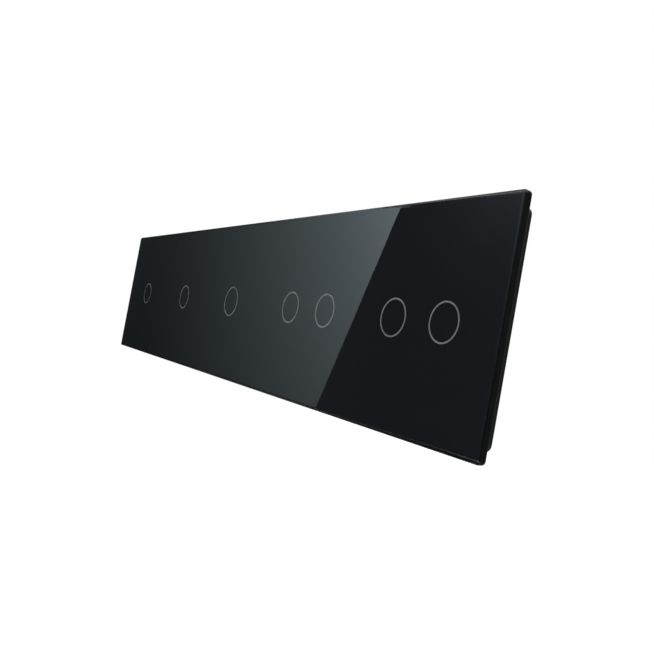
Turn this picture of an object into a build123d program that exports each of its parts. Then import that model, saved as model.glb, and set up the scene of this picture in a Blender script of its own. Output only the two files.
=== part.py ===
from build123d import *
from math import hypot
import os

# Five-gang glass touch switch. X runs along the panel, Y into the wall and Z up.
# The wall plane is Y = 0, and a level is a distance in front of it, towards the room.

# Wall boxes: each gang is screwed to one through slots in its mounting frame
gang_count = 5
box_screw_pitch = 60.0
slot_width = 3.6
slot_length = 6.0
slot_margin = 1.2  # slot's end to the mounting frame's edge

# Keys: one in the middle of each single gang, two in each double gang
single_key_offsets = [-1.8, -2.1, -5.6]  # from the gang's centre
double_key_edges = [(11.9, 11.8), (13.8, 12.2)]  # from the cover's left and right edges
ring_radius = 6.7
middle_ring_radius = 7.4
ring_line = 0.6
key_drop = 0.4  # keys below the panel's middle

# Glass panel and its print
glass_thickness = 2.5
glass_corner = 1.5
glass_chamfer = 0.4
print_thickness = 0.1
print_margin = 0.05  # to the glass's chamfer
adhesive_thickness = 0.4
adhesive_margin = 1.2

# Panel frame behind the glass
end_inset = 4.0  # glass edge to the panel frame's ends
long_inset = 3.1  # glass edge to its long walls
frame_depth = 5.0
end_wall = 1.5
long_wall = 2.4
frame_rib = 2.0
frame_web = 1.2
frame_corner = 2.6
pry_notch_width = 12.0
pry_notch_depth = 1.2

# Clearances
panel_gap = 0.3  # module front to the back of the print
bay_gap = 0.3  # mounting frame to panel frame, and housing rim to mounting frame
cover_gap = 1.0  # front cover to the frame's opening
part_gap = 0.2
screw_gap = 0.1
head_gap = 0.6  # box screw's head to the raised zone
flange_play = 0.05  # light guide's flange to the front cover
board_gap = 0.9  # power board to the housing

# Steel mounting frame of one module
plate_thickness = 1.2
plate_corner = 2.0
raised_margin = 0.5
tongue_width = 8.0
tongue_thickness = 0.8
tongue_height = 2.2
tongue_offset = 18.0
snap_radius = 0.6
snap_proud = 0.15
snap_groove_radius = 0.9

# Front cover
cover_corner = 3.0
cover_wall = 1.2
cover_skin = 0.9
cover_chamfer = 0.3
board_seat = 1.2
post_margin = 3.5  # post's axis to the power board's edge
post_radius = 2.2
post_hole_depth = 4.0

# Light guides and touch pads
guide_inside = 0.8  # from the ring's radius inwards
guide_outside = 0.6
guide_flange = 0.5
guide_flange_thickness = 0.65
pad_margin = 0.6
led_length = 1.6
led_width = 0.8
led_height = 0.6

# Boards
touch_board_thickness = 0.8
power_board_thickness = 1.6
power_board_depth = 1.0
chip_size = 5.0
chip_thickness = 0.9
chip_place = (0, 8)
header_pins_per_strip = 5
header_pitch = 2.54
header_width = 2.5
header_pin = 0.6
header_hole_radius = 0.5
header_rise = 1.2  # above the terminal block
header_pin_proud = 0.4

# Rear housing
housing_corner = 3.0
housing_wall = 1.6
housing_shoulder = 11.0  # depth where the side bevels start
housing_depth = 22.0
back_margin = 1.9  # widest terminal block to the edge of the housing's back
rim_lip = 0.5
rim_seat = 2.4  # rim's edge to the mounting frame's window
collar_wall = 1.2
boss_radius = 3.6
boss_step_radius = 3.0
boss_step_depth = 7.8
screw_seat_depth = 9.0
tunnel_radius = 2.4
vent_count = 6
vent_length = 16.0
vent_width = 1.2
vent_pitch = 2.6
vent_margin = 4.0  # uppermost vent to the inside of the top wall
label_width = 20.0
label_height = 12.0
label_corner = 1.0
label_depth = 0.3
label_rise = 3.0  # above the wire entries

# Screws
housing_screw_radius = 1.0
housing_screw_head_radius = 2.0
housing_screw_head = 1.6
housing_screw_cross = 2.8
box_screw_radius = 1.5
box_screw_head_radius = 2.9
box_screw_head = 1.7
box_screw_edge = 0.55
box_screw_cross = 3.8
box_screw_length = 16.0
drive_width = 0.6
drive_depth = 0.7

# Relays
relay_length = 18.0
relay_width = 10.0
relay_height = 11.0
relay_wall = 0.7
relay_base = 1.5
relay_margin = 2.4  # first row to the housing's top wall
relay_spacing = 1.5
yoke_thickness = 0.8
yoke_margin = 1.3  # yoke to the inside of the case, across the relay
hinge_inset = 1.3  # hinge to the relay's end
contact_inset = 2.9  # fixed contact to the relay's other end
coil_offset = 5.2  # from the hinge to the coil's axis
core_radius = 1.2
bobbin_gap = 0.5
bobbin_flange = 0.6
winding_step = 0.4
pole_proud = 0.3
pole_gap = 0.45
hinge_gap = 0.1
armature_thickness = 0.6
armature_length = 7.4
blade_start = 3.7  # from the hinge
blade_proud = 0.9  # past the contact
blade_width = 3.0
blade_thickness = 0.25
blade_headroom = 0.4
contact_radius = 0.8
contact_gap = 1.0
contact_post = 1.4

# Supply components on the power board
film_width = 5.0
film_length = 14.0
film_height = 11.0
film_corner = 0.5
film_gap = 0.9  # to the housing's side
can_radius = 4.0
can_height = 11.5
can_edge = 0.5
can_gap = 0.25
coil_radius = 3.5
coil_neck = 1.2
coil_height = 8.0
coil_rise = 2.2  # above the terminal block
can_rise = 2.5  # above the coil
fuse_radius = 1.2
fuse_length = 7.0
fuse_z = -4.0

# Wire terminals
terminal_pitch = 5.5
terminal_wall = 0.6
terminal_height = 10.0
terminal_floor = 2.3
clamp_width = 4.6
clamp_length = 8.0
clamp_start = 6.5  # from the power board
clamp_passage = 3.4
wire_radius = 1.6
wire_drop = 3.4  # from the block's top to the wire's axis
terminal_screw_radius = 1.2
terminal_screw_head_radius = 2.0
terminal_screw_head = 1.5

# The plate of a module sets the pitch of the gangs, the panel frame and the glass
plate_size = box_screw_pitch + slot_length + 2 * slot_margin
gang_pitch = plate_size + 2 * bay_gap + frame_rib
frame_height = plate_size + 2 * (bay_gap + long_wall)
frame_length = plate_size + 2 * (bay_gap + end_wall) + (gang_count - 1) * gang_pitch
glass_height = frame_height + 2 * long_inset
glass_length = frame_length + 2 * end_inset
gang_xs = [(i - (gang_count - 1) / 2) * gang_pitch for i in range(gang_count)]

# The front cover stands between the box screws, and the housing hangs from the frame raised round it
raised_size = box_screw_pitch - 2 * (box_screw_head_radius + head_gap)
cover_size = raised_size - 2 * raised_margin
cover_cavity = cover_size - 2 * cover_wall
seat_size = cover_cavity - 2 * board_seat
front_opening = cover_size + 2 * cover_gap
touch_board_size = cover_cavity - 2 * part_gap
raised_inside = raised_size - 2 * plate_thickness
rim_size = raised_inside - 2 * bay_gap
plate_window = rim_size - 2 * rim_seat
housing_size = rim_size - 2 * rim_lip
inner_half = housing_size / 2 - housing_wall
power_board_size = 2 * (inner_half - board_gap)
post_pitch = power_board_size - 2 * post_margin
post_places = [(x, z) for x in (-post_pitch / 2, post_pitch / 2) for z in (-post_pitch / 2, post_pitch / 2)]

# Levels in front of the wall
print_back = frame_depth + adhesive_thickness
glass_back = print_back + print_thickness
glass_front = glass_back + glass_thickness
raised_front = 2 * plate_thickness
cover_front = print_back - panel_gap
cover_inside = cover_front - cover_skin
touch_board_front = cover_inside - guide_flange_thickness - flange_play
touch_board_back = touch_board_front - touch_board_thickness
power_board_front = -power_board_depth
power_board_back = power_board_front - power_board_thickness
housing_floor = housing_wall - housing_depth

# Keys of each gang, as distances from the gang's centre
key_offsets = [[offset] for offset in single_key_offsets]
key_offsets += [[left - cover_size / 2, cover_size / 2 - right] for left, right in double_key_edges]
key_radii = [middle_ring_radius if i == gang_count // 2 else ring_radius for i in range(gang_count)]

# Terminal block along the housing's bottom wall, with two terminals more than the gang has keys
terminal_top = terminal_height + part_gap - inner_half
terminal_bottom = terminal_top - terminal_height
wire_z = terminal_top - wire_drop
widest_block = (max(len(offsets) for offsets in key_offsets) + 2) * terminal_pitch + 2 * terminal_wall
entry_radius = wire_radius + part_gap
clamp_height = terminal_height - terminal_floor - 2 * part_gap
clamp_front = power_board_back - clamp_start
clamp_centre = clamp_front - clamp_length / 2
header_z = terminal_top + header_rise
pin_xs = [(i - (header_pins_per_strip - 1) / 2) * header_pitch for i in range(header_pins_per_strip)]

# Side bevels of the housing, and its cavity's half width at a depth
housing_back = widest_block + 2 * back_margin
bevel_run = (housing_size - housing_back) / 2
bevel_depth = housing_depth - housing_shoulder
bevel_wall = housing_wall * hypot(bevel_run, bevel_depth) / bevel_depth
vent_places = [(0, inner_half - vent_margin - i * vent_pitch) for i in range(vent_count)]
label_place = (0, wire_z + entry_radius + label_rise + label_height / 2)


def cavity_half(depth):
    bevelled = housing_size / 2 - bevel_run * (depth - housing_shoulder) / bevel_depth - bevel_wall
    return min(inner_half, bevelled)


# Places on the power board
relay_rows = [inner_half - relay_margin - relay_width / 2 - row * (relay_width + relay_spacing)
              for row in range(2)]
film_x = film_gap + film_width / 2 - cavity_half(film_height - power_board_back)
can_x = cavity_half(can_height - power_board_back) - can_gap - can_radius
coil_z = terminal_top + coil_rise + coil_radius
can_z = coil_z + coil_radius + can_rise + can_radius
fuse_x = (film_x + film_width / 2 - relay_length / 2) / 2

os.makedirs("parts", exist_ok=True)


def level(height):
    return Plane.XZ.offset(height)


def slab(low, high, width, height, places=((0, 0),), corner=0.0, mode=Mode.ADD):
    with BuildSketch(level(low)) as outline:
        with Locations(*places):
            if corner > 0:
                RectangleRounded(width, height, corner)
            else:
                Rectangle(width, height)
    extrude(outline.sketch, amount=high - low, mode=mode)


def disc(low, high, radius, places=((0, 0),), mode=Mode.ADD):
    with BuildSketch(level(low)) as outline:
        with Locations(*places):
            Circle(radius)
    extrude(outline.sketch, amount=high - low, mode=mode)


def save(part, name):
    part.label = name
    export_step(part, f"parts/{name}.step")


def save_copies(part, name, places):
    with BuildPart() as group:
        with Locations(*[(x, -height, z) for x, z, height in places]):
            add(part)
    save(group.part, name)


def save_per_gang(part, name):
    for number, gang_x in enumerate(gang_xs, 1):
        save(part.moved(Location((gang_x, 0, 0))), f"{name}_{number}")


def terminals(keys):
    count = keys + 2
    return [(i - (count - 1) / 2) * terminal_pitch for i in range(count)]


# Keys along the whole panel, as (x, ring radius), all at one height
key_z = -key_drop
keys = [(gang_x + offset, radius) for gang_x, offsets, radius in zip(gang_xs, key_offsets, key_radii)
        for offset in offsets]

# Glass panel
with BuildPart() as glass_panel:
    slab(glass_back, glass_front, glass_length, glass_height, corner=glass_corner)
    flat_faces = glass_panel.faces().filter_by(Axis.Y)
    chamfer(flat_faces.edges(), glass_chamfer)
save(glass_panel.part, "glass_panel")

# Black print on the back of the glass, open along each ring
with BuildPart() as black_back_print:
    print_inset = glass_chamfer + print_margin
    slab(print_back, glass_back, glass_length - 2 * print_inset, glass_height - 2 * print_inset,
         corner=glass_corner - print_inset)
    for key_x, radius in keys:
        disc(print_back, glass_back, radius + ring_line / 2, [(key_x, key_z)], Mode.SUBTRACT)
        disc(print_back, glass_back, radius - ring_line / 2, [(key_x, key_z)])
save(black_back_print.part, "black_back_print")

# Translucent ring print that fills the gaps
with BuildPart() as ring_print:
    for key_x, radius in keys:
        disc(print_back, glass_back, radius + ring_line / 2, [(key_x, key_z)])
        disc(print_back, glass_back, radius - ring_line / 2, [(key_x, key_z)], Mode.SUBTRACT)
save(ring_print.part, "ring_print")

# Panel frame: a web with five openings, walls round it and ribs between the bays
gang_places = [(gang_x, 0) for gang_x in gang_xs]
rib_places = [((a + b) / 2, 0) for a, b in zip(gang_xs, gang_xs[1:])]
tongue_places = [(gang_x + side * tongue_offset, 0) for gang_x in gang_xs for side in (-1, 1)]
snap_level = plate_thickness + tongue_height - snap_radius - part_gap

with BuildPart() as panel_frame:
    slab(0, frame_depth, frame_length, frame_height, corner=frame_corner)
    slab(0, frame_depth - frame_web, frame_length - 2 * end_wall, frame_height - 2 * long_wall,
         mode=Mode.SUBTRACT)
    slab(0, frame_depth - frame_web, frame_rib, frame_height - 2 * long_wall, rib_places)
    slab(0, frame_depth, front_opening, front_opening, gang_places, cover_corner + cover_gap, Mode.SUBTRACT)
    # grooves in the long walls, which the spring tongues snap into
    with BuildSketch(Plane.YZ) as groove_ends:
        with Locations((-snap_level, plate_size / 2 + bay_gap), (-snap_level, -plate_size / 2 - bay_gap)):
            Circle(snap_groove_radius)
    for tongue_x, _ in tongue_places:
        groove_length = tongue_width + 2 * part_gap
        grooves = extrude(groove_ends.sketch, amount=groove_length / 2, both=True, mode=Mode.PRIVATE)
        with Locations((tongue_x, 0, 0)):
            add(grooves, mode=Mode.SUBTRACT)
    # pry notches in the rear edge of the bottom wall, at the outer ribs
    notch_places = [(rib_x, -frame_height / 2) for rib_x, _ in (rib_places[0], rib_places[-1])]
    slab(0, pry_notch_depth, pry_notch_width, 2 * long_wall, notch_places, mode=Mode.SUBTRACT)
save(panel_frame.part, "panel_frame")

# Adhesive bead between the frame's web and the print
with BuildPart() as glass_adhesive:
    slab(frame_depth, print_back, frame_length - 2 * adhesive_margin, frame_height - 2 * adhesive_margin,
         corner=frame_corner)
    slab(frame_depth, print_back, front_opening + 2 * adhesive_margin, front_opening + 2 * adhesive_margin,
         gang_places, cover_corner + cover_gap, Mode.SUBTRACT)
save(glass_adhesive.part, "glass_adhesive")

# Steel mounting frame: flat against the wall, raised round its window to hold the module
slot_offset = box_screw_pitch / 2
with BuildPart() as mounting_frame:
    slab(0, plate_thickness, plate_size, plate_size, corner=plate_corner)
    slab(plate_thickness, raised_front, raised_size, raised_size, corner=cover_corner)
    slab(0, plate_thickness, raised_inside, raised_inside, corner=cover_corner - plate_thickness,
         mode=Mode.SUBTRACT)
    slab(plate_thickness, raised_front, plate_window, plate_window, corner=cover_corner, mode=Mode.SUBTRACT)
    with BuildSketch(level(0)) as side_slots:
        with Locations((-slot_offset, 0), (slot_offset, 0)):
            SlotOverall(slot_length, slot_width)
        with Locations((0, -slot_offset), (0, slot_offset)):
            SlotOverall(slot_length, slot_width, rotation=90)
    extrude(amount=plate_thickness, mode=Mode.SUBTRACT)
    # spring tongues along the top and bottom edges
    tongue_z = plate_size / 2 - tongue_thickness / 2
    tongues = [(x * tongue_offset, z * tongue_z) for x in (-1, 1) for z in (-1, 1)]
    slab(plate_thickness, plate_thickness + tongue_height, tongue_width, tongue_thickness, tongues)
    with BuildSketch(Plane.YZ) as snap_ends:
        snap_z = plate_size / 2 + snap_proud - snap_radius
        with Locations((-snap_level, snap_z), (-snap_level, -snap_z)):
            Circle(snap_radius)
        Rectangle(2 * (snap_level + 2 * snap_radius), plate_size - 2 * tongue_thickness, mode=Mode.SUBTRACT)
    snaps = extrude(snap_ends.sketch, amount=tongue_width / 2, both=True, mode=Mode.PRIVATE)
    with Locations((-tongue_offset, 0, 0), (tongue_offset, 0, 0)):
        add(snaps)
save_per_gang(mounting_frame.part, "mounting_frame")

# Front cover of each gang, with a hole for each of its keys
for number, (gang_x, offsets, radius) in enumerate(zip(gang_xs, key_offsets, key_radii), 1):
    key_places = [(offset, key_z) for offset in offsets]
    flange_radius = radius + guide_outside + guide_flange
    with BuildPart() as front_cover:
        slab(raised_front, cover_front, cover_size, cover_size, corner=cover_corner)
        chamfer(front_cover.faces().sort_by(Axis.Y)[0].edges(), cover_chamfer)
        slab(raised_front, touch_board_front, cover_cavity, cover_cavity, corner=cover_corner - cover_wall,
             mode=Mode.SUBTRACT)
        slab(touch_board_front, cover_inside, seat_size, seat_size, corner=cover_corner - cover_wall,
             mode=Mode.SUBTRACT)
        disc(power_board_front, cover_inside, post_radius, post_places)
        disc(power_board_front, power_board_front + post_hole_depth, housing_screw_radius + screw_gap / 2,
             post_places, Mode.SUBTRACT)
        disc(touch_board_front, cover_inside, flange_radius + part_gap, key_places, Mode.SUBTRACT)
        disc(touch_board_front, cover_front, radius + guide_outside + part_gap, key_places, Mode.SUBTRACT)
    save(front_cover.part.moved(Location((gang_x, 0, 0))), f"front_cover_{number}")

# Light guides, a flanged clear ring under each printed ring, with pockets for its two lamps
with BuildPart() as light_guides:
    for key_x, radius in keys:
        disc(touch_board_front, touch_board_front + guide_flange_thickness,
             radius + guide_outside + guide_flange, [(key_x, key_z)])
        disc(touch_board_front, cover_front, radius + guide_outside, [(key_x, key_z)])
        disc(touch_board_front, cover_front, radius - guide_inside, [(key_x, key_z)], Mode.SUBTRACT)
        slab(touch_board_front, touch_board_front + led_height + part_gap, led_width + 2 * part_gap,
             led_length + 2 * part_gap, [(key_x - radius, key_z), (key_x + radius, key_z)],
             mode=Mode.SUBTRACT)
save(light_guides.part, "light_guides")

with BuildPart() as indicator_leds:
    led_places = [(key_x + side * radius, key_z) for key_x, radius in keys for side in (-1, 1)]
    slab(touch_board_front, touch_board_front + led_height, led_width, led_length, led_places)
save(indicator_leds.part, "indicator_leds")

with BuildPart() as touch_pads:
    for key_x, radius in keys:
        disc(touch_board_front, cover_front, radius - guide_inside - pad_margin, [(key_x, key_z)])
save(touch_pads.part, "touch_pads")

# Boards, chip and the header between them
header_places = [(x, header_z) for x in pin_xs]
with BuildPart() as touch_board:
    slab(touch_board_back, touch_board_front, touch_board_size, touch_board_size,
         corner=cover_corner - cover_wall)
    disc(touch_board_back, touch_board_front, post_radius + part_gap, post_places, Mode.SUBTRACT)
    disc(touch_board_back, touch_board_front, header_hole_radius, header_places, Mode.SUBTRACT)
save_per_gang(touch_board.part, "touch_board")

with BuildPart() as power_board:
    slab(power_board_back, power_board_front, power_board_size, power_board_size)
    disc(power_board_back, power_board_front, housing_screw_radius + screw_gap, post_places, Mode.SUBTRACT)
    disc(power_board_back, power_board_front, header_hole_radius, header_places, Mode.SUBTRACT)
save_per_gang(power_board.part, "power_board")

with BuildPart() as touch_chip:
    slab(touch_board_back - chip_thickness, touch_board_back, chip_size, chip_size, [chip_place])
save_copies(touch_chip.part, "touch_chips", [(x, 0, 0) for x in gang_xs])

with BuildPart() as header_strip:
    slab(power_board_front, touch_board_back, header_pins_per_strip * header_pitch, header_width,
         [(0, header_z)])
    disc(power_board_front, touch_board_back, header_hole_radius, header_places, Mode.SUBTRACT)
save_copies(header_strip.part, "header_strips", [(x, 0, 0) for x in gang_xs])

with BuildPart() as header_pin_row:
    slab(power_board_back - header_pin_proud, touch_board_front + header_pin_proud, header_pin, header_pin,
         header_places)
save_copies(header_pin_row.part, "header_pins", [(x, 0, 0) for x in gang_xs])

# Rear housing: a square tub whose sides bevel in behind the shoulder
inner_shoulder = housing_shoulder + (housing_wall - bevel_wall) * bevel_depth / bevel_run
floor_half = cavity_half(-housing_floor)


def bevelled_prism(half, shoulder, back_half, back, front, height):
    with BuildSketch(Plane.XY.offset(-height / 2)) as profile:
        with BuildLine():
            Polyline((-half, -front), (half, -front), (half, shoulder), (back_half, back),
                     (-back_half, back), (-half, shoulder), close=True)
        make_face()
    extrude(profile.sketch, amount=height, mode=Mode.INTERSECT)


with BuildPart() as housing_body:
    slab(-housing_depth, 0, housing_size, housing_size, corner=housing_corner)
    bevelled_prism(housing_size / 2, housing_shoulder, housing_back / 2, housing_depth, 0, housing_size)

with BuildPart() as housing_cavity:
    slab(housing_floor, 0, 2 * inner_half, 2 * inner_half, corner=housing_corner - housing_wall)
    bevelled_prism(inner_half, inner_shoulder, floor_half, -housing_floor, 0, 2 * inner_half)

with BuildPart() as housing_bosses:
    disc(-housing_depth, -boss_step_depth, boss_radius, post_places)
    disc(-housing_depth, power_board_back, boss_step_radius, post_places)
    add(housing_body.part, mode=Mode.INTERSECT)

collar_inside = plate_window - 2 * (part_gap + collar_wall)
for number, (gang_x, offsets) in enumerate(zip(gang_xs, key_offsets), 1):
    terminal_xs = terminals(len(offsets))
    with BuildPart() as rear_housing:
        add(housing_body.part)
        add(housing_cavity.part, mode=Mode.SUBTRACT)
        add(housing_bosses.part)
        slab(0, plate_thickness, rim_size, rim_size, corner=housing_corner)
        slab(plate_thickness, touch_board_back, plate_window - 2 * part_gap, plate_window - 2 * part_gap,
             corner=cover_corner - part_gap)
        slab(0, touch_board_back, collar_inside, collar_inside, corner=cover_corner - collar_wall,
             mode=Mode.SUBTRACT)
        disc(-screw_seat_depth, power_board_back, housing_screw_radius + screw_gap, post_places,
             Mode.SUBTRACT)
        disc(-housing_depth, -screw_seat_depth, tunnel_radius, post_places, Mode.SUBTRACT)
        # wire entries in the back and screwdriver holes in the bottom wall
        disc(-housing_depth, housing_floor, entry_radius, [(x, wire_z) for x in terminal_xs], Mode.SUBTRACT)
        with BuildSketch(Plane.XY.offset(-housing_size / 2)) as driver_holes:
            with Locations(*[(x, -clamp_centre) for x in terminal_xs]):
                Circle(terminal_screw_head_radius + part_gap)
        extrude(driver_holes.sketch, amount=housing_wall, mode=Mode.SUBTRACT)
        # vents and a shallow field for a label in the back
        slab(-housing_depth, housing_floor, vent_length, vent_width, vent_places, mode=Mode.SUBTRACT)
        slab(-housing_depth, label_depth - housing_depth, label_width, label_height, [label_place],
             label_corner, Mode.SUBTRACT)
    save(rear_housing.part.moved(Location((gang_x, 0, 0))), f"rear_housing_{number}")

# Relay: case, base, yoke with core, wound bobbin and fixed contact, built at the power board's back
relay_xz = [(gang_x, row) for gang_x, offsets in zip(gang_xs, key_offsets)
            for row, _ in zip(relay_rows, offsets)]
relay_places = [(x, z, power_board_back) for x, z in relay_xz]
hinge_x = hinge_inset - relay_length / 2
contact_x = relay_length / 2 - contact_inset
yoke_width = relay_width - 2 * (relay_wall + yoke_margin)
bobbin_radius = relay_width / 2 - relay_wall - bobbin_gap
coil_x = hinge_x + coil_offset
foot_top = relay_base + yoke_thickness
armature_top = relay_height - relay_wall - blade_headroom - blade_thickness
armature_bottom = armature_top - armature_thickness
pole_top = armature_bottom - pole_gap
bobbin_top = pole_top - pole_proud

with BuildPart() as relay_case:
    slab(-relay_height, 0, relay_length, relay_width, corner=relay_wall)
    slab(relay_wall - relay_height, 0, relay_length - 2 * relay_wall, relay_width - 2 * relay_wall,
         mode=Mode.SUBTRACT)
save_copies(relay_case.part, "relay_cases", relay_places)

with BuildPart() as relay_base_plate:
    slab(-relay_base, 0, relay_length - 2 * relay_wall - part_gap, relay_width - 2 * relay_wall - part_gap)
save_copies(relay_base_plate.part, "relay_bases", relay_places)

with BuildPart() as relay_yoke:
    foot_length = coil_offset + yoke_thickness / 2 + core_radius
    slab(-foot_top, -relay_base, foot_length, yoke_width,
         [(hinge_x - yoke_thickness / 2 + foot_length / 2, 0)])
    # upright whose round top edge carries the armature
    hinge_level = armature_bottom - hinge_gap - yoke_thickness / 2
    slab(-hinge_level, -relay_base, yoke_thickness, yoke_width, [(hinge_x, 0)])
    with BuildSketch(Plane.XY.offset(-yoke_width / 2)) as round_edge:
        with Locations((hinge_x, hinge_level)):
            Circle(yoke_thickness / 2)
    extrude(round_edge.sketch, amount=yoke_width)
    disc(-pole_top, -foot_top, core_radius, [(coil_x, 0)])
save_copies(relay_yoke.part, "relay_yokes", relay_places)

with BuildPart() as relay_coil:
    disc(-bobbin_top, -foot_top, bobbin_radius - winding_step, [(coil_x, 0)])
    disc(-foot_top - bobbin_flange, -foot_top, bobbin_radius, [(coil_x, 0)])
    disc(-bobbin_top, bobbin_flange - bobbin_top, bobbin_radius, [(coil_x, 0)])
    disc(-bobbin_top, -foot_top, core_radius + screw_gap, [(coil_x, 0)], Mode.SUBTRACT)
save_copies(relay_coil.part, "relay_coils", relay_places)

with BuildPart() as relay_contact:
    slab(contact_gap - armature_bottom, -relay_base, contact_post, blade_width, [(contact_x, 0)])
save_copies(relay_contact.part, "relay_contacts", relay_places)

# Relay armature: hinged plate, contact blade and moving contact in one
with BuildPart() as relay_armature:
    armature_x = hinge_x - yoke_thickness / 2 + armature_length / 2
    slab(-armature_top, -armature_bottom, armature_length, yoke_width, [(armature_x, 0)])
    blade_end = contact_x + blade_proud
    slab(-armature_top - blade_thickness, -armature_top, blade_end - hinge_x - blade_start, blade_width,
         [((hinge_x + blade_start + blade_end) / 2, 0)])
    disc(-armature_top, -armature_bottom, contact_radius, [(contact_x, 0)])
for number, (x, z) in enumerate(relay_xz, 1):
    save(relay_armature.part.moved(Location((x, -power_board_back, z))), f"relay_armature_{number}")

# Supply components
with BuildPart() as film_capacitor_box:
    slab(power_board_back - film_height, power_board_back, film_width, film_length, [(film_x, 0)],
         corner=film_corner)
save_copies(film_capacitor_box.part, "film_capacitors", [(x, 0, 0) for x in gang_xs])

with BuildPart() as electrolytic_capacitor:
    disc(power_board_back - can_height, power_board_back, can_radius, [(can_x, can_z)])
    fillet(electrolytic_capacitor.faces().sort_by(Axis.Y)[-1].edges(), can_edge)
save_copies(electrolytic_capacitor.part, "electrolytic_capacitors", [(x, 0, 0) for x in gang_xs])

with BuildPart() as supply_coil:
    coil_place = (can_x, coil_z)
    disc(power_board_back - coil_height, power_board_back, coil_radius, [coil_place])
    disc(power_board_back - coil_height + coil_neck, power_board_back - coil_neck, coil_radius, [coil_place],
         Mode.SUBTRACT)
    disc(power_board_back - coil_height, power_board_back, coil_radius - coil_neck / 2, [coil_place])
save_copies(supply_coil.part, "supply_coils", [(x, 0, 0) for x in gang_xs])

with BuildPart() as fuse:
    with BuildSketch(Plane.XY.offset(fuse_z - fuse_length / 2)) as fuse_section:
        with Locations((fuse_x, fuse_radius - power_board_back)):
            Circle(fuse_radius)
    extrude(fuse_section.sketch, amount=fuse_length)
save_copies(fuse.part, "fuses", [(x, 0, 0) for x in gang_xs])

# Wire terminals: a moulded block with one chamber per wire, brass clamps and screws
terminal_places = [(gang_x + x, 0, 0) for gang_x, offsets in zip(gang_xs, key_offsets)
                   for x in terminals(len(offsets))]
chamber_bottom = terminal_top - clamp_height - 2 * part_gap
block_back = housing_floor + part_gap

with BuildPart() as terminal_blocks:
    for gang_x, offsets in zip(gang_xs, key_offsets):
        xs = terminals(len(offsets))
        block_width = len(xs) * terminal_pitch + 2 * terminal_wall
        slab(block_back, power_board_back, block_width, terminal_height,
             [(gang_x, (terminal_top + terminal_bottom) / 2)])
        chamber_height = terminal_top - chamber_bottom
        slab(clamp_front - clamp_length - part_gap, clamp_front + part_gap, clamp_width + 2 * part_gap,
             chamber_height, [(gang_x + x, terminal_top - chamber_height / 2) for x in xs],
             mode=Mode.SUBTRACT)
        disc(block_back, clamp_front, wire_radius, [(gang_x + x, wire_z) for x in xs], Mode.SUBTRACT)
        with BuildSketch(Plane.XY.offset(terminal_bottom)) as head_holes:
            with Locations(*[(gang_x + x, -clamp_centre) for x in xs]):
                Circle(terminal_screw_head_radius + part_gap)
        extrude(head_holes.sketch, amount=chamber_bottom - terminal_bottom, mode=Mode.SUBTRACT)
save(terminal_blocks.part, "terminal_blocks")

clamp_bottom = chamber_bottom + part_gap
with BuildPart() as terminal_clamp:
    slab(clamp_front - clamp_length, clamp_front, clamp_width, clamp_height,
         [(0, clamp_bottom + clamp_height / 2)])
    slab(clamp_front - clamp_length, clamp_front, clamp_passage, clamp_passage, [(0, wire_z)],
         mode=Mode.SUBTRACT)
    with BuildSketch(Plane.XY.offset(clamp_bottom)) as thread_hole:
        with Locations((0, -clamp_centre)):
            Circle(terminal_screw_radius + screw_gap / 2)
    extrude(thread_hole.sketch, amount=wire_z - clamp_bottom, mode=Mode.SUBTRACT)
save_copies(terminal_clamp.part, "terminal_clamps", terminal_places)

with BuildPart() as terminal_screw:
    head_top = chamber_bottom - part_gap / 2
    with BuildSketch(Plane.XY.offset(head_top)) as head_section:
        with Locations((0, -clamp_centre)):
            Circle(terminal_screw_head_radius)
    extrude(head_section.sketch, amount=-terminal_screw_head)
    with BuildSketch(Plane.XY.offset(head_top)) as shank_section:
        with Locations((0, -clamp_centre)):
            Circle(terminal_screw_radius)
    extrude(shank_section.sketch, amount=wire_z - clamp_passage / 2 - part_gap - head_top)
    with BuildSketch(Plane.XY.offset(head_top - terminal_screw_head)) as drive_section:
        with Locations((0, -clamp_centre)):
            Rectangle(2 * terminal_screw_head_radius, drive_width)
    extrude(drive_section.sketch, amount=drive_depth, mode=Mode.SUBTRACT)
save_copies(terminal_screw.part, "terminal_screws", terminal_places)

# Box screws through the upper and lower slots of each mounting frame
with BuildPart() as box_screw:
    disc(plate_thickness, plate_thickness + box_screw_head, box_screw_head_radius)
    fillet(box_screw.faces().sort_by(Axis.Y)[0].edges(), box_screw_edge)
    disc(plate_thickness - box_screw_length, plate_thickness, box_screw_radius)
    head_front = plate_thickness + box_screw_head
    slab(head_front - drive_depth, head_front, box_screw_cross, drive_width, mode=Mode.SUBTRACT)
    slab(head_front - drive_depth, head_front, drive_width, box_screw_cross, mode=Mode.SUBTRACT)
save_copies(box_screw.part, "box_screws", [(x, side * slot_offset, 0) for x in gang_xs for side in (-1, 1)])

# Housing screws, from the back through the power board into the cover's posts
with BuildPart() as housing_screw:
    disc(-screw_seat_depth - housing_screw_head, -screw_seat_depth, housing_screw_head_radius)
    disc(-screw_seat_depth, power_board_front + post_hole_depth - part_gap, housing_screw_radius)
    head_back = -screw_seat_depth - housing_screw_head
    slab(head_back, head_back + drive_depth, housing_screw_cross, drive_width, mode=Mode.SUBTRACT)
    slab(head_back, head_back + drive_depth, drive_width, housing_screw_cross, mode=Mode.SUBTRACT)
save_copies(housing_screw.part, "housing_screws",
            [(gang_x + x, z, 0) for gang_x in gang_xs for x, z in post_places])
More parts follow.
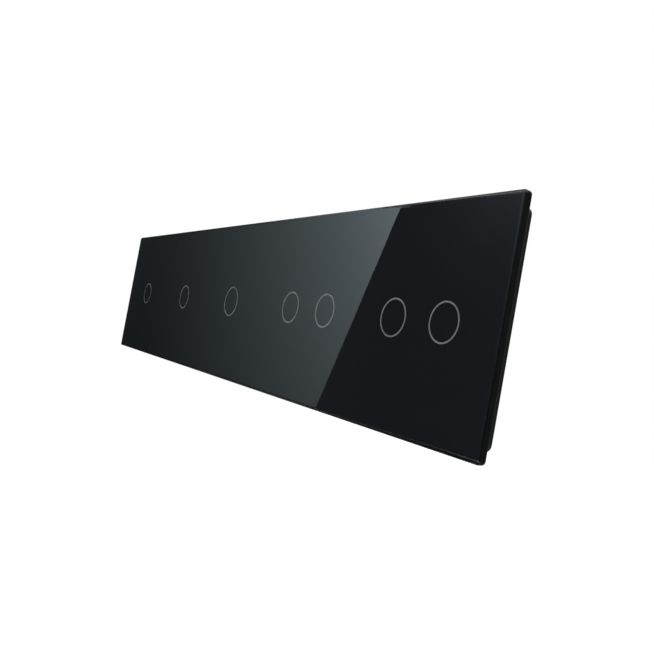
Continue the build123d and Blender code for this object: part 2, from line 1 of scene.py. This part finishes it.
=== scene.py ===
import bmesh
import bpy
from math import pi, radians
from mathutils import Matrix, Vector


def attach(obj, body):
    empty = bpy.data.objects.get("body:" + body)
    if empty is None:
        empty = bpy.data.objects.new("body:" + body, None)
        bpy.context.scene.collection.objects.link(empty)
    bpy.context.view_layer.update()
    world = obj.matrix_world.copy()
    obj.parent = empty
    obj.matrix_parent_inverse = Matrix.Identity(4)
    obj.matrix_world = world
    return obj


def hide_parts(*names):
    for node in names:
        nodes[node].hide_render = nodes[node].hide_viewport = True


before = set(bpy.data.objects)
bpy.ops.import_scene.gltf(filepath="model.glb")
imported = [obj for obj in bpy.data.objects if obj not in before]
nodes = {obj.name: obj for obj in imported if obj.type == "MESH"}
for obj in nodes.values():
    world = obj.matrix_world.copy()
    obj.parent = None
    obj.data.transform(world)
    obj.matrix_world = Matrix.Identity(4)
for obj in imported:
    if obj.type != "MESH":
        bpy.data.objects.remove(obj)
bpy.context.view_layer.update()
print("frame loaded,", len(nodes), "parts")

scene = bpy.context.scene
scene.view_settings.view_transform = "Standard"

# camera, looking along the panel from its right end
cameraSetup = {
    "place": (0.31630, -0.15186, -0.01459),
    "turn": (91.67839, -10.29969, 57.15338),
    "lens": 37.24,
    "sensor": 36,
    "nearest": 0.005,
}
cameraData = bpy.data.cameras.new("camera")
cameraData.sensor_width = cameraSetup["sensor"]
cameraData.lens = cameraSetup["lens"]
cameraData.clip_start = cameraSetup["nearest"]
camera = bpy.data.objects.new("camera", cameraData)
camera.location = cameraSetup["place"]
camera.rotation_euler = [radians(a) for a in cameraSetup["turn"]]
scene.collection.objects.link(camera)
scene.camera = camera
print("camera set")


# node helpers
class Wire:  # an output socket that can be used in sums
    def __init__(self, owner, socket):
        self.owner = owner
        self.socket = socket

    def math(self, operation, *values):
        return self.owner.node("Math", {"operation": operation}, dict(enumerate(values)))

    def __add__(self, other):
        return self.math("ADD", self, other)

    def __radd__(self, other):
        return self.math("ADD", other, self)

    def __sub__(self, other):
        return self.math("SUBTRACT", self, other)

    def __rsub__(self, other):
        return self.math("SUBTRACT", other, self)

    def __mul__(self, other):
        return self.math("MULTIPLY", self, other)

    def __rmul__(self, other):
        return self.math("MULTIPLY", other, self)

    def __lt__(self, other):
        return self.math("LESS_THAN", self, other)

    def __gt__(self, other):
        return self.math("GREATER_THAN", self, other)

    def clamped(self, low=0.0, high=1.0):
        return self.math("MINIMUM", self.math("MAXIMUM", self, low), high)

    def spread(self, low, high):  # what is at low becomes 0, and what is at high 1
        return (self - low).clamped(0, high - low) * (1 / (high - low))


class Wiring:  # a node tree that is being wired up
    def __init__(self, tree):
        self.tree = tree

    def feed(self, socket, value):
        if isinstance(value, Wire):
            self.tree.links.new(value.socket, socket)
        elif isinstance(value, tuple) and len(value) == 3 and len(socket.default_value) == 4:
            socket.default_value = (*value, 1)
        else:
            socket.default_value = value

    def node(self, kind, settings, inputs, output=0):
        made = self.tree.nodes.new("ShaderNode" + kind)
        for name, value in settings.items():
            setattr(made, name, value)
        for name, value in inputs.items():
            self.feed(made.inputs[name], value)
        return Wire(self, made.outputs[output])

    def ray(self, kind):
        return self.node("LightPath", {}, {}, kind)


class Finish(Wiring):  # a material that is being wired up
    socketNames = {"ior": "IOR", "baseColor": "Base Color", "specular": "Specular IOR Level",
                   "transmission": "Transmission Weight", "coat": "Coat Weight",
                   "coatRoughness": "Coat Roughness", "glow": "Emission Color",
                   "glowStrength": "Emission Strength"}

    def __init__(self, name, **surface):
        self.material = bpy.data.materials.new(name)
        self.material.use_nodes = True
        super().__init__(self.material.node_tree)
        self.shader = self.tree.nodes["Principled BSDF"]
        self.set(**surface)
        self.place = self.node("TexCoord", {}, {}, "Object")

    def set(self, **surface):
        for name, value in surface.items():
            socketName = self.socketNames.get(name, name.capitalize())
            self.feed(self.shader.inputs[socketName], value)

    def stretch(self, x, y, z):
        return self.node("Mapping", {}, {"Vector": self.place, "Scale": (x, y, z)})

    def along(self, axis):
        return self.node("SeparateXYZ", {}, {"Vector": self.place}, axis)

    def noise(self, scale, detail=2.0, rough=0.5, at=None):
        return self.node("TexNoise", {}, {"Vector": at or self.place, "Scale": scale,
                                          "Detail": detail, "Roughness": rough})

    def cells(self, scale, output="Distance"):
        return self.node("TexVoronoi", {}, {"Vector": self.place, "Scale": scale}, output)

    def blend(self, amount, first, second):  # 6, 7 and 2 are the Mix node's colour sockets
        return self.node("Mix", {"data_type": "RGBA"}, {"Factor": amount, 6: first, 7: second}, 2)

    def tones(self, amount, colour, first, second):
        return self.blend(amount, shade(colour, first), shade(colour, second))

    def bump(self, height, depth, strength):
        self.set(normal=self.node("Bump", {}, {"Height": height, "Distance": depth,
                                               "Strength": strength}))


def shade(colour, factor):
    return tuple(min(1.0, c * factor) for c in colour)


noiseMiddle = 0.5  # a noise varies about this value

# moulded plastics and the like, with flow marks, rubbed places, specks and a fine grain
plasticLooks = {
    "blackPlastic": {"colour": (0.0055, 0.0056, 0.0060), "gloss": 0.48, "grain": 2600,
                     "depth": 0.00003, "specular": 0.12},
    "coverBlack": {"colour": (0.020, 0.020, 0.022), "gloss": 0.46, "grain": 2200,
                   "depth": 0.000042},
    "housingGrey": {"colour": (0.105, 0.110, 0.116), "gloss": 0.50, "grain": 2000,
                    "depth": 0.000048},
    "terminalGrey": {"colour": (0.27, 0.28, 0.29), "gloss": 0.47, "grain": 2400,
                     "depth": 0.00003},
    "relayBlue": {"colour": (0.022, 0.060, 0.27), "gloss": 0.35, "grain": 3000,
                  "depth": 0.000024},
    "relayBaseBlack": {"colour": (0.022, 0.022, 0.023), "gloss": 0.5, "grain": 2600,
                       "depth": 0.00003},
    "chipBlack": {"colour": (0.018, 0.018, 0.019), "gloss": 0.55, "grain": 6000,
                  "depth": 0.000018},
    "padCarbon": {"colour": (0.034, 0.034, 0.037), "gloss": 0.72, "grain": 5200,
                  "depth": 0.00003},
    "capacitorYellow": {"colour": (0.62, 0.38, 0.03), "gloss": 0.22, "grain": 1500,
                        "depth": 0.000036},
    "canSleeve": {"colour": (0.02, 0.027, 0.08), "gloss": 0.24, "grain": 1200,
                  "depth": 0.000018},
    "ferrite": {"colour": (0.045, 0.043, 0.043), "gloss": 0.6, "grain": 4500,
                "depth": 0.00003},
    "fuseCeramic": {"colour": (0.72, 0.68, 0.58), "gloss": 0.25, "grain": 1800,
                    "depth": 0.000018},
    "lampWhite": {"colour": (0.86, 0.82, 0.66), "gloss": 0.2, "grain": 3200,
                  "depth": 0.000015},
    "labelFilm": {"colour": (0.36, 0.37, 0.38), "gloss": 0.34, "grain": 1700,
                  "depth": 0.000012},
}
plasticWear = {"flow": 38, "flowRange": (0.3, 0.7), "flowTones": (0.80, 1.18), "flowHeight": 0.4,
               "rub": 9, "rubStretch": (9, 30, 22), "rubRange": (0.35, 0.8), "rubTone": 2.1,
               "rubMix": 0.25, "rubGloss": 0.28, "specks": 620, "speckSize": 0.055,
               "speckTone": 2.6, "speckMix": 0.132, "grainGloss": 0.12,
               "glossRange": (0.08, 0.95), "strength": 0.55}


def mouldedPlastic(name, look):
    wear = plasticWear
    colour = look["colour"]
    made = Finish(name, ior=1.5, specular=look.get("specular", 0.5))
    flow = made.noise(wear["flow"], detail=4)
    grain = made.noise(look["grain"], rough=0.6)
    rubPlace = made.stretch(*wear["rubStretch"])
    rubbed = made.noise(wear["rub"], detail=5, rough=0.65, at=rubPlace).clamped(*wear["rubRange"])
    specks = made.cells(wear["specks"]) < wear["speckSize"]
    tone = made.tones(flow.spread(*wear["flowRange"]), colour, *wear["flowTones"])
    tone = made.blend((rubbed - wear["rubRange"][0]) * wear["rubMix"], tone,
                      shade(colour, wear["rubTone"]))
    tone = made.blend(specks * wear["speckMix"], tone, shade(colour, wear["speckTone"]))
    gloss = look["gloss"] + (rubbed - noiseMiddle) * wear["rubGloss"]
    gloss = (gloss + (grain - noiseMiddle) * wear["grainGloss"]).clamped(*wear["glossRange"])
    made.set(baseColor=tone, roughness=gloss)
    made.bump(grain + flow * wear["flowHeight"], look["depth"], wear["strength"])
    return made


# plated and plain metals, with drawn lines, spangle and faint stains
metalLooks = {
    "zincSteel": {"colour": (0.45, 0.46, 0.475), "gloss": 0.38, "lines": (60, 60, 1100),
                  "spangle": 260, "metal": 0.6},
    "screwSteel": {"colour": (0.38, 0.38, 0.37), "gloss": 0.34, "lines": (900, 120, 900),
                   "spangle": 900, "metal": 0.8},
    "terminalBrass": {"colour": (0.74, 0.54, 0.20), "gloss": 0.28, "lines": (900, 160, 300),
                      "spangle": 700},
    "pinGold": {"colour": (0.83, 0.62, 0.25), "gloss": 0.22, "lines": (1800, 90, 1800),
                "spangle": 1400},
    "softIron": {"colour": (0.44, 0.44, 0.45), "gloss": 0.36, "lines": (1200, 120, 1200),
                 "spangle": 1200},
    "contactSilver": {"colour": (0.80, 0.79, 0.76), "gloss": 0.20, "lines": (240, 900, 2200),
                      "spangle": 1100},
}
metalWear = {"spangleTones": (0.88, 1.10), "spangleHeight": 0.15, "stain": 46,
             "stainRange": (0.52, 0.82), "stainTint": (0.92, 0.86, 0.74), "stainMix": 0.48,
             "stainGloss": 0.2, "lineRange": (0.5, 1.0), "lineTone": 0.7, "lineMix": 0.25,
             "lineGloss": 0.30, "glossRange": (0.1, 0.8), "depth": 0.00001, "strength": 0.15}


def platedMetal(name, look):
    wear = metalWear
    colour = look["colour"]
    made = Finish(name, metallic=look.get("metal", 1.0))
    lines = made.noise(1, detail=4, rough=0.6, at=made.stretch(*look["lines"]))
    spangle = made.node("SeparateColor", {}, {"Color": made.cells(look["spangle"], "Color")}, "Red")
    stain = made.noise(wear["stain"], detail=5, rough=0.6)
    stained = tuple(c * tint for c, tint in zip(colour, wear["stainTint"]))
    tone = made.tones(spangle, colour, *wear["spangleTones"])
    tone = made.blend(stain.spread(*wear["stainRange"]) * wear["stainMix"], tone, stained)
    tone = made.blend(lines.spread(*wear["lineRange"]) * wear["lineMix"], tone,
                      shade(colour, wear["lineTone"]))
    gloss = look["gloss"] + (lines - noiseMiddle) * wear["lineGloss"]
    gloss = (gloss + (stain - noiseMiddle) * wear["stainGloss"]).clamped(*wear["glossRange"])
    made.set(baseColor=tone, roughness=gloss)
    made.bump(lines + spangle * wear["spangleHeight"], wear["depth"], wear["strength"])
    return made


# polished glass with faint smears, and its ground edge
glassLook = {"tint": (0.350, 0.362, 0.358), "ior": 1.5, "gloss": 0.004, "smear": 11,
             "smearStretch": (5, 1, 12), "smearRange": (0.42, 0.78), "smearGloss": 0.00432}
groundLook = {"colour": (0.0050, 0.0054, 0.0056), "tones": (0.75, 1.5), "patches": 90,
              "gloss": 0.30, "lines": (120, 5200, 120), "lineGloss": 0.25, "depth": 0.000004,
              "strength": 0.4}
groundShine = {"groundEdge": 0.03, "groundArris": 0.22}


def clearGlass():
    look = glassLook
    made = Finish("clearGlass", baseColor=look["tint"], transmission=1.0, ior=look["ior"])
    smears = made.noise(look["smear"], detail=5, rough=0.62, at=made.stretch(*look["smearStretch"]))
    made.set(roughness=look["gloss"] + smears.spread(*look["smearRange"]) * look["smearGloss"])
    return made


def groundGlass(name, shine):
    look = groundLook
    made = Finish(name, ior=1.5, specular=shine)
    lines = made.noise(1, detail=3, rough=0.6, at=made.stretch(*look["lines"]))
    patches = made.noise(look["patches"], detail=4)
    made.set(baseColor=made.tones(patches, look["colour"], *look["tones"]),
             roughness=look["gloss"] + (lines - noiseMiddle) * look["lineGloss"])
    made.bump(lines, look["depth"], look["strength"])
    return made


# print behind the glass; it has no shine of its own, because it touches the glass
inkLook = {"colour": (0.0042, 0.0043, 0.0046), "tones": (0.85, 1.15), "cloud": 55,
           "cloudMix": 0.8, "weave": 900, "weaveMix": 0.2, "gloss": 0.55, "weaveGloss": 0.15}
ringLook = {"colour": (0.760, 0.740, 0.760), "tones": (1.08, 0.86), "dots": 3600,
            "dotContrast": 1.6, "cloud": 240, "cloudTone": 1.15, "cloudMix": 0.4, "gloss": 0.42,
            "cloudGloss": 0.2}


def blackInk():
    look = inkLook
    made = Finish("blackInk", specular=0.0)
    cloud = made.noise(look["cloud"], detail=3)
    weave = made.noise(look["weave"])
    mottle = cloud * look["cloudMix"] + weave * look["weaveMix"]
    made.set(baseColor=made.tones(mottle, look["colour"], *look["tones"]),
             roughness=look["gloss"] + weave * look["weaveGloss"])
    return made


def ringInk():
    look = ringLook
    made = Finish("ringInk", specular=0.0)
    dots = (made.cells(look["dots"]) * look["dotContrast"]).clamped()
    cloud = made.noise(look["cloud"], detail=3)
    tone = made.tones(dots, look["colour"], *look["tones"])
    tone = made.blend(cloud * look["cloudMix"], tone, shade(look["colour"], look["cloudTone"]))
    made.set(baseColor=tone, roughness=look["gloss"] + cloud * look["cloudGloss"])
    return made


# clear glue that looks dark, with small bubbles
glueLook = {"colour": (0.035, 0.035, 0.038), "tones": (0.7, 1.5), "cloud": 120,
            "cloudGloss": 0.2, "bubbles": 900, "bubbleSize": 0.16, "bubbleGloss": 0.2,
            "bubbleHeight": 0.4, "gloss": 0.28, "depth": 0.00003, "strength": 0.5}


def clearGlue():
    look = glueLook
    made = Finish("clearGlue")
    bubbles = made.cells(look["bubbles"]) < look["bubbleSize"]
    cloud = made.noise(look["cloud"], detail=4)
    gloss = look["gloss"] + cloud * look["cloudGloss"] + bubbles * look["bubbleGloss"]
    made.set(baseColor=made.tones(cloud, look["colour"], *look["tones"]), roughness=gloss)
    made.bump(cloud - bubbles * look["bubbleHeight"], look["depth"], look["strength"])
    return made


# frosted clear plastic of the light guides
guideLook = {"tints": ((0.80, 0.83, 0.85), (0.93, 0.95, 0.96)), "swirl": 260, "clear": 0.72,
             "ior": 1.49, "frost": 1500, "gloss": 0.18, "frostGloss": 0.22,
             "glossRange": (0.1, 0.6), "depth": 0.00001, "strength": 0.4}


def clearGuide():
    look = guideLook
    made = Finish("clearGuide", transmission=look["clear"], ior=look["ior"])
    frost = made.noise(look["frost"], detail=3, rough=0.6)
    swirl = made.noise(look["swirl"], detail=3)
    gloss = (look["gloss"] + frost * look["frostGloss"]).clamped(*look["glossRange"])
    made.set(baseColor=made.blend(swirl, *look["tints"]), roughness=gloss)
    made.bump(frost, look["depth"], look["strength"])
    return made


# solder mask of the boards, over a woven base and raised tracks
boardLook = {"tints": ((0.012, 0.085, 0.035), (0.018, 0.115, 0.048)),
             "trackTint": (0.035, 0.20, 0.075), "trackMix": 0.75,
             "tracks": {"Scale": 90, "Mortar Size": 0.06, "Brick Width": 0.8, "Row Height": 0.22},
             "weave": (2200, 400, 400), "weaveHeight": 0.2, "gloss": 0.25, "weaveGloss": 0.2,
             "coat": 0.3, "coatRoughness": 0.15, "depth": 0.00002, "strength": 0.4}


def solderMask():
    look = boardLook
    made = Finish("solderMask", coat=look["coat"], coatRoughness=look["coatRoughness"])
    tracks = made.node("TexBrick", {}, {"Vector": made.place, **look["tracks"]}, "Fac")
    weave = made.noise(1, at=made.stretch(*look["weave"]))
    tone = made.blend(weave, *look["tints"])
    made.set(baseColor=made.blend(tracks * look["trackMix"], tone, look["trackTint"]),
             roughness=look["gloss"] + weave * look["weaveGloss"])
    made.bump(tracks + weave * look["weaveHeight"], look["depth"], look["strength"])
    return made


# enamelled copper wire of the relay coils, turn beside turn, with painted shade in the grooves
# between the turns and a painted highlight on their crests
windingLook = {"tints": ((0.16, 0.045, 0.014), (0.52, 0.18, 0.055)),
               "turns": {"Scale": 900, "Distortion": 0.4, "Detail": 1.0},
               "drift": 700, "driftTint": (0.62, 0.27, 0.09), "driftMix": 0.3, "gloss": 0.2,
               "driftGloss": 0.25, "coat": 0.4, "coatRoughness": 0.2, "depth": 0.00005,
               "strength": 0.7}


def woundWire():
    look = windingLook
    made = Finish("woundWire", coat=look["coat"], coatRoughness=look["coatRoughness"])
    turns = made.node("TexWave", {"bands_direction": "Y"}, {"Vector": made.place, **look["turns"]},
                      "Fac")
    drift = made.noise(look["drift"], detail=3)
    # painted shade and highlight: the first tint, in the grooves between the turns, is painted
    # shade, and the second, on their crests, is a painted highlight
    tone = made.blend(turns, *look["tints"])
    made.set(baseColor=made.blend(drift * look["driftMix"], tone, look["driftTint"]),
             roughness=look["gloss"] + drift * look["driftGloss"])
    made.bump(turns, look["depth"], look["strength"])
    return made


finishes = {name: mouldedPlastic(name, look) for name, look in plasticLooks.items()}
finishes.update({name: platedMetal(name, look) for name, look in metalLooks.items()})
finishes.update({name: groundGlass(name, shine) for name, shine in groundShine.items()})
finishes.update(clearGlass=clearGlass(), blackInk=blackInk(), ringInk=ringInk(),
                clearGlue=clearGlue(), clearGuide=clearGuide(), solderMask=solderMask(),
                woundWire=woundWire())

# the finish of each part, or of each numbered family of parts
coats = {
    "black_back_print": "blackInk", "ring_print": "ringInk", "glass_adhesive": "clearGlue",
    "panel_frame": "blackPlastic", "glass_panel": "clearGlass", "light_guides": "clearGuide",
    "touch_pads": "padCarbon", "indicator_leds": "lampWhite", "touch_chips": "chipBlack",
    "header_strips": "chipBlack", "header_pins": "pinGold", "relay_cases": "relayBlue",
    "relay_bases": "relayBaseBlack", "relay_yokes": "softIron", "relay_coils": "woundWire",
    "relay_contacts": "contactSilver", "relay_armature": "contactSilver",
    "film_capacitors": "capacitorYellow", "electrolytic_capacitors": "canSleeve",
    "supply_coils": "ferrite", "fuses": "fuseCeramic", "terminal_blocks": "terminalGrey",
    "terminal_clamps": "terminalBrass", "terminal_screws": "screwSteel",
    "box_screws": "screwSteel", "housing_screws": "screwSteel", "mounting_frame": "zincSteel",
    "front_cover": "coverBlack", "rear_housing": "housingGrey", "touch_board": "solderMask",
    "power_board": "solderMask",
}


def rowFor(name, table):  # a part's own row, or its family's
    return table.get(name) or table.get(name.rsplit("_", 1)[0])


for name in nodes:
    for slot in nodes[name].material_slots:
        slot.material = finishes[rowFor(name, coats)].material
print("finishes made,", len(finishes))

# small radii on the edges of the moulded and pressed parts
edgeRadii = {"panel_frame": 0.00018, "front_cover": 0.00015, "rear_housing": 0.00018,
             "mounting_frame": 0.00012}
edgeSetup = {"weld": 0.000002, "segments": 2, "angle": 40}


def softenEdges(part, radius):
    weld = part.modifiers.new("weld", "WELD")
    weld.merge_threshold = edgeSetup["weld"]
    bevel = part.modifiers.new("edges", "BEVEL")
    bevel.width = radius
    bevel.segments = edgeSetup["segments"]
    bevel.limit_method = "ANGLE"
    bevel.angle_limit = radians(edgeSetup["angle"])


for name in nodes:
    radius = rowFor(name, edgeRadii)
    if radius:
        softenEdges(nodes[name], radius)
print("edges softened")

# piece helpers
roughlyFacing = 0.9  # how far a face's normal lies along an axis
exactlyFacing = 0.9999


def addBlock(work, size, centre):
    corners = bmesh.ops.create_cube(work, size=1)["verts"]
    bmesh.ops.scale(work, vec=size, verts=corners)
    bmesh.ops.translate(work, vec=centre, verts=corners)


def roundEdges(work, edges, offset, segments):
    bmesh.ops.bevel(work, geom=edges, offset=offset, offset_type="OFFSET", segments=segments,
                    profile=0.5, affect="EDGES", material=-1)


def edgesThrough(work, thick):  # the edges that run from front to back
    return [e for e in work.edges if abs(e.verts[0].co.y - e.verts[1].co.y) > thick / 2]


def finishPiece(work, name, coating, body):
    mesh = bpy.data.meshes.new(name)
    work.to_mesh(mesh)
    work.free()
    piece = bpy.data.objects.new(name, mesh)
    for finish in coating:
        mesh.materials.append(finish.material)
    scene.collection.objects.link(piece)
    if body:
        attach(piece, body)
    return piece


# glass pane with a ground edge; the print is sunk a little into its back
glassPaneSize = {"length": 0.364, "height": 0.080, "front": -0.0080, "back": -0.00546,
                 "corner": 0.0015, "cornerSegments": 8, "arris": 0.00042, "arrisSegments": 3,
                 "rim": ((0.00045, 0.00008), (0.00045, 0.00003)),  # width and drop of each step
                 "clearUpTo": 0.8, "longSideFrom": 0.1}  # these two are parts of a face's normal


def glassFinish(normal):  # which of the three finishes a face has
    clear, edge, arris = 0, 1, 2
    size = glassPaneSize
    start = size["longSideFrom"]
    if abs(normal.y) >= size["clearUpTo"] and not 0 < normal.y < exactlyFacing:
        return clear
    return arris if normal.y < -start and abs(normal.z) > start else edge


def makeGlassPane():
    size = glassPaneSize
    front = size["front"] + sum(drop for width, drop in size["rim"])
    thick = size["back"] - front
    work = bmesh.new()
    addBlock(work, (size["length"], thick, size["height"]), (0, (front + size["back"]) / 2, 0))
    roundEdges(work, edgesThrough(work, thick), size["corner"], size["cornerSegments"])
    rims = [e for f in work.faces if abs(f.normal.y) > roughlyFacing for e in f.edges]
    roundEdges(work, rims, size["arris"], size["arrisSegments"])
    face = min(work.faces, key=lambda f: f.calc_center_median().y)
    for width, drop in size["rim"]:  # the face rolls off a little towards its rim
        bmesh.ops.inset_region(work, faces=[face], thickness=width, depth=drop,
                               use_even_offset=True)
    work.normal_update()
    for face in work.faces:
        face.smooth = True
        face.material_index = glassFinish(face.normal)
    for face in work.faces:
        if max(abs(part) for part in face.normal) > exactlyFacing:
            for edge in face.edges:
                edge.smooth = False
    coating = [finishes[name] for name in ("clearGlass", "groundEdge", "groundArris")]
    pane = finishPiece(work, "glassPane", coating, "panel")
    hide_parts("glass_panel")


makeGlassPane()
print("glass pane made")

# threads on the box screws, two in each of the five gangs
gangPitch = 0.071
gangPlaces = [gang * gangPitch for gang in range(-2, 3)]
threadSizes = {"rise": 0.030, "radius": 0.00150, "pitch": 0.0005, "sunk": 0.00004,
               "proud": 0.00011, "crest": 0.3, "width": 0.6, "from": 0.0006, "to": 0.0144,
               "steps": 14}  # crest and width are parts of the pitch


def addThread(work, centre):
    size = threadSizes
    pitch = size["pitch"]
    turns = int((size["to"] - size["from"]) / pitch)
    corners = ((-size["sunk"], 0), (size["proud"], pitch * size["crest"]),
               (-size["sunk"], pitch * size["width"]))
    ridge = [work.verts.new(centre + Vector((size["radius"] + out, along, 0)))
             for out, along in corners]
    edges = [work.edges.new((ridge[i], ridge[(i + 1) % 3])) for i in range(3)]
    bmesh.ops.spin(work, geom=ridge + edges, cent=centre, axis=(0, 1, 0),
                   dvec=(0, pitch / size["steps"], 0), angle=2 * pi * turns,
                   steps=turns * size["steps"], use_duplicate=False, use_merge=False)


def makeThreads():
    size = threadSizes
    work = bmesh.new()
    for x in gangPlaces:
        for rise in (-size["rise"], size["rise"]):
            addThread(work, Vector((x, size["from"], rise)))
    bmesh.ops.holes_fill(work, edges=[e for e in work.edges if e.is_boundary], sides=4)
    bmesh.ops.recalc_face_normals(work, faces=work.faces)
    finishPiece(work, "boxScrewThreads", [finishes["screwSteel"]], "wall_side")


makeThreads()
print("screw threads made")

# blank label in the shallow field of each housing
labelSize = {"width": 0.0196, "height": 0.0116, "rise": -0.0053, "from": 0.02171,
             "to": 0.02195, "corner": 0.0008, "cornerSegments": 5, "edge": 0.00005,
             "edgeSegments": 2}


def makeLabels():
    size = labelSize
    thick = size["to"] - size["from"]
    work = bmesh.new()
    for x in gangPlaces:
        addBlock(work, (size["width"], thick, size["height"]),
                 (x, size["from"] + thick / 2, size["rise"]))
    roundEdges(work, edgesThrough(work, thick), size["corner"], size["cornerSegments"])
    work.normal_update()
    rims = [e for f in work.faces if f.normal.y > roughlyFacing for e in f.edges]
    roundEdges(work, rims, size["edge"], size["edgeSegments"])
    finishPiece(work, "blankLabels", [finishes["labelFilm"]], "wall_side")


makeLabels()
print("labels made")

# pale floor far below, which glows a little to the camera so that it is white there
floorSetup = {"level": -0.5, "half": 4.0, "tints": ((0.85, 0.85, 0.85), (0.88, 0.88, 0.88)),
              "fibres": 60, "roughness": 0.9, "specular": 0.1, "glow": 0.62}


def makeFloor():
    setup = floorSetup
    work = bmesh.new()
    bmesh.ops.create_grid(work, x_segments=1, y_segments=1, size=setup["half"])
    bmesh.ops.translate(work, vec=(0, 0, setup["level"]), verts=work.verts)
    made = Finish("floorPaper", roughness=setup["roughness"], specular=setup["specular"])
    made.set(baseColor=made.blend(made.noise(setup["fibres"], detail=4), *setup["tints"]))
    strength = made.ray("Is Camera Ray") * setup["glow"]
    glow = made.node("Emission", {}, {"Color": (1, 1, 1), "Strength": strength})
    both = made.node("AddShader", {}, {0: Wire(made, made.shader.outputs[0]), 1: glow})
    made.feed(made.tree.nodes["Material Output"].inputs["Surface"], both)
    finishPiece(work, "floor", [made], None)


# how bright each card is from place to place
def paleLevel(made, setup):  # brighter away from the panel and upwards
    reach = (setup["reachFrom"] - made.along("Y")).clamped()
    rise = (setup["rise"] + made.along("Z") * setup["riseGain"]).clamped(0, setup["riseMost"])
    return (setup["near"] + reach * setup["gain"] + reach * reach * setup["squareGain"]) * rise


def darkLevel(made, setup):  # a little brighter towards the upper front corner
    reach = (setup["reachFrom"] - made.along("Y")).clamped()
    rise = made.along("Z").clamped()
    corner = rise * rise * rise * (reach * setup["cornerReach"]).clamped() * setup["corner"]
    level = setup["near"] + made.along("Z") * setup["riseGain"] + corner
    return (1 + reach * setup["gain"]) * level


def frontLevel(made, setup):  # a soft slanting glow on its left
    glow = setup["glowFrom"] - made.along("X") + made.along("Z") * setup["slant"]
    glow = glow.clamped(0, setup["glowMost"])
    return setup["near"] + glow * glow * setup["squareGain"]


def endLevel(made, setup):  # brighter upwards
    return setup["near"] + (made.along("Z") * setup["riseGain"]).clamped()


def floorLevel(made, setup):  # brighter far in front, which lights the lower arris
    reach = (setup["reachFrom"] - made.along("Y")).clamped(0, setup["reachMost"])
    return setup["near"] + reach * reach * setup["squareGain"]


# cards and flags that only reflections see
cards = {
    "paleCard": {
        "corners": ((-1.2, -1.0415, 0.55), (-1.2, -0.8038, -0.32), (-1.2, -0.10, -0.32),
                    (-1.2, -0.10, 1.0)),
        "colour": (0.82, 1.0, 1.07), "level": paleLevel, "reachFrom": -0.33, "near": 0.065,
        "gain": 0.3, "squareGain": 2.82, "rise": 0.775, "riseGain": 1.05, "riseMost": 1.6},
    "darkCard": {
        "corners": ((-1.21, -3.0, 0.85), (-1.21, -3.0, -0.42), (-1.21, -0.10, -0.42),
                    (-1.21, -0.10, 0.85)),
        "colour": (0.100, 0.115, 0.138), "level": darkLevel, "reachFrom": -1.0, "near": 1.12,
        "gain": 0.9, "riseGain": 0.12, "corner": 6.2, "cornerReach": 3},
    "frontFlag": {
        "corners": ((-1.3, -2.4, -0.45), (2.6, -2.4, -0.45), (2.6, -2.4, 1.5), (-1.3, -2.4, 1.5)),
        "colour": (0.10, 0.105, 0.115), "level": frontLevel, "glowFrom": -0.35, "slant": 0.5,
        "glowMost": 1.2, "near": 0.85, "squareGain": 3.2},
    "endFlag": {
        "corners": ((1.9, -2.3, -0.45), (1.9, 2.6, -0.45), (1.9, 2.6, 1.5), (1.9, -2.3, 1.5)),
        "colour": (0.085, 0.09, 0.095), "level": endLevel, "near": 0.75, "riseGain": 0.4},
    "floorFlag": {
        "corners": ((-1.19, -2.35, -0.46), (1.85, -2.35, -0.46), (1.85, -0.25, -0.46),
                    (-1.19, -0.25, -0.46)),
        "colour": (0.10, 0.11, 0.12), "level": floorLevel, "reachFrom": -1.0, "reachMost": 0.3,
        "near": 0.9, "squareGain": 150},
}


def makeCard(name, setup):
    work = bmesh.new()
    work.faces.new([work.verts.new(corner) for corner in setup["corners"]])
    made = Finish(name, baseColor=(0, 0, 0), roughness=1.0, specular=0.0, glowStrength=1.0)
    level = setup["level"](made, setup)
    made.set(glow=made.node("VectorMath", {"operation": "SCALE"},
                            {0: setup["colour"], "Scale": level}))
    card = finishPiece(work, name, [made], None)
    card.visible_camera = False
    card.visible_diffuse = False
    card.visible_transmission = False
    card.visible_shadow = False


makeFloor()
for name, setup in cards.items():
    makeCard(name, setup)
print("floor and cards made")

# white surround, weaker as a lamp than it is to the camera, in gloss and through glass
surroundSetup = {"lamp": 0.55, "seen": 1.0}
scene.world = bpy.data.worlds.new("surround")
scene.world.use_nodes = True
surround = Wiring(scene.world.node_tree)
backing = surround.tree.nodes["Background"]
seen = (surround.ray("Is Camera Ray") + surround.ray("Is Glossy Ray")
        + surround.ray("Is Transmission Ray")).clamped()
surround.feed(backing.inputs["Color"], (1, 1, 1))
surround.feed(backing.inputs["Strength"],
              surroundSetup["lamp"] + seen * (surroundSetup["seen"] - surroundSetup["lamp"]))

# soft lamps that face the panel
lamps = {
    "keyLamp": {"place": (0.7, -1.3, 1.4), "size": 1.2, "power": 20},
    "fillLamp": {"place": (1.1, -0.1, 1.6), "size": 1.4, "power": 9},
    "backLamp": {"place": (-0.7, 1.4, 1.2), "size": 1.3, "power": 15},
}
for name, lamp in lamps.items():
    data = bpy.data.lights.new(name, "AREA")
    data.shape = "SQUARE"
    data.size = lamp["size"]
    data.energy = lamp["power"]
    holder = bpy.data.objects.new(name, data)
    holder.location = lamp["place"]
    holder.rotation_euler = (-Vector(lamp["place"])).to_track_quat("-Z", "Y").to_euler()
    scene.collection.objects.link(holder)
print("studio made")
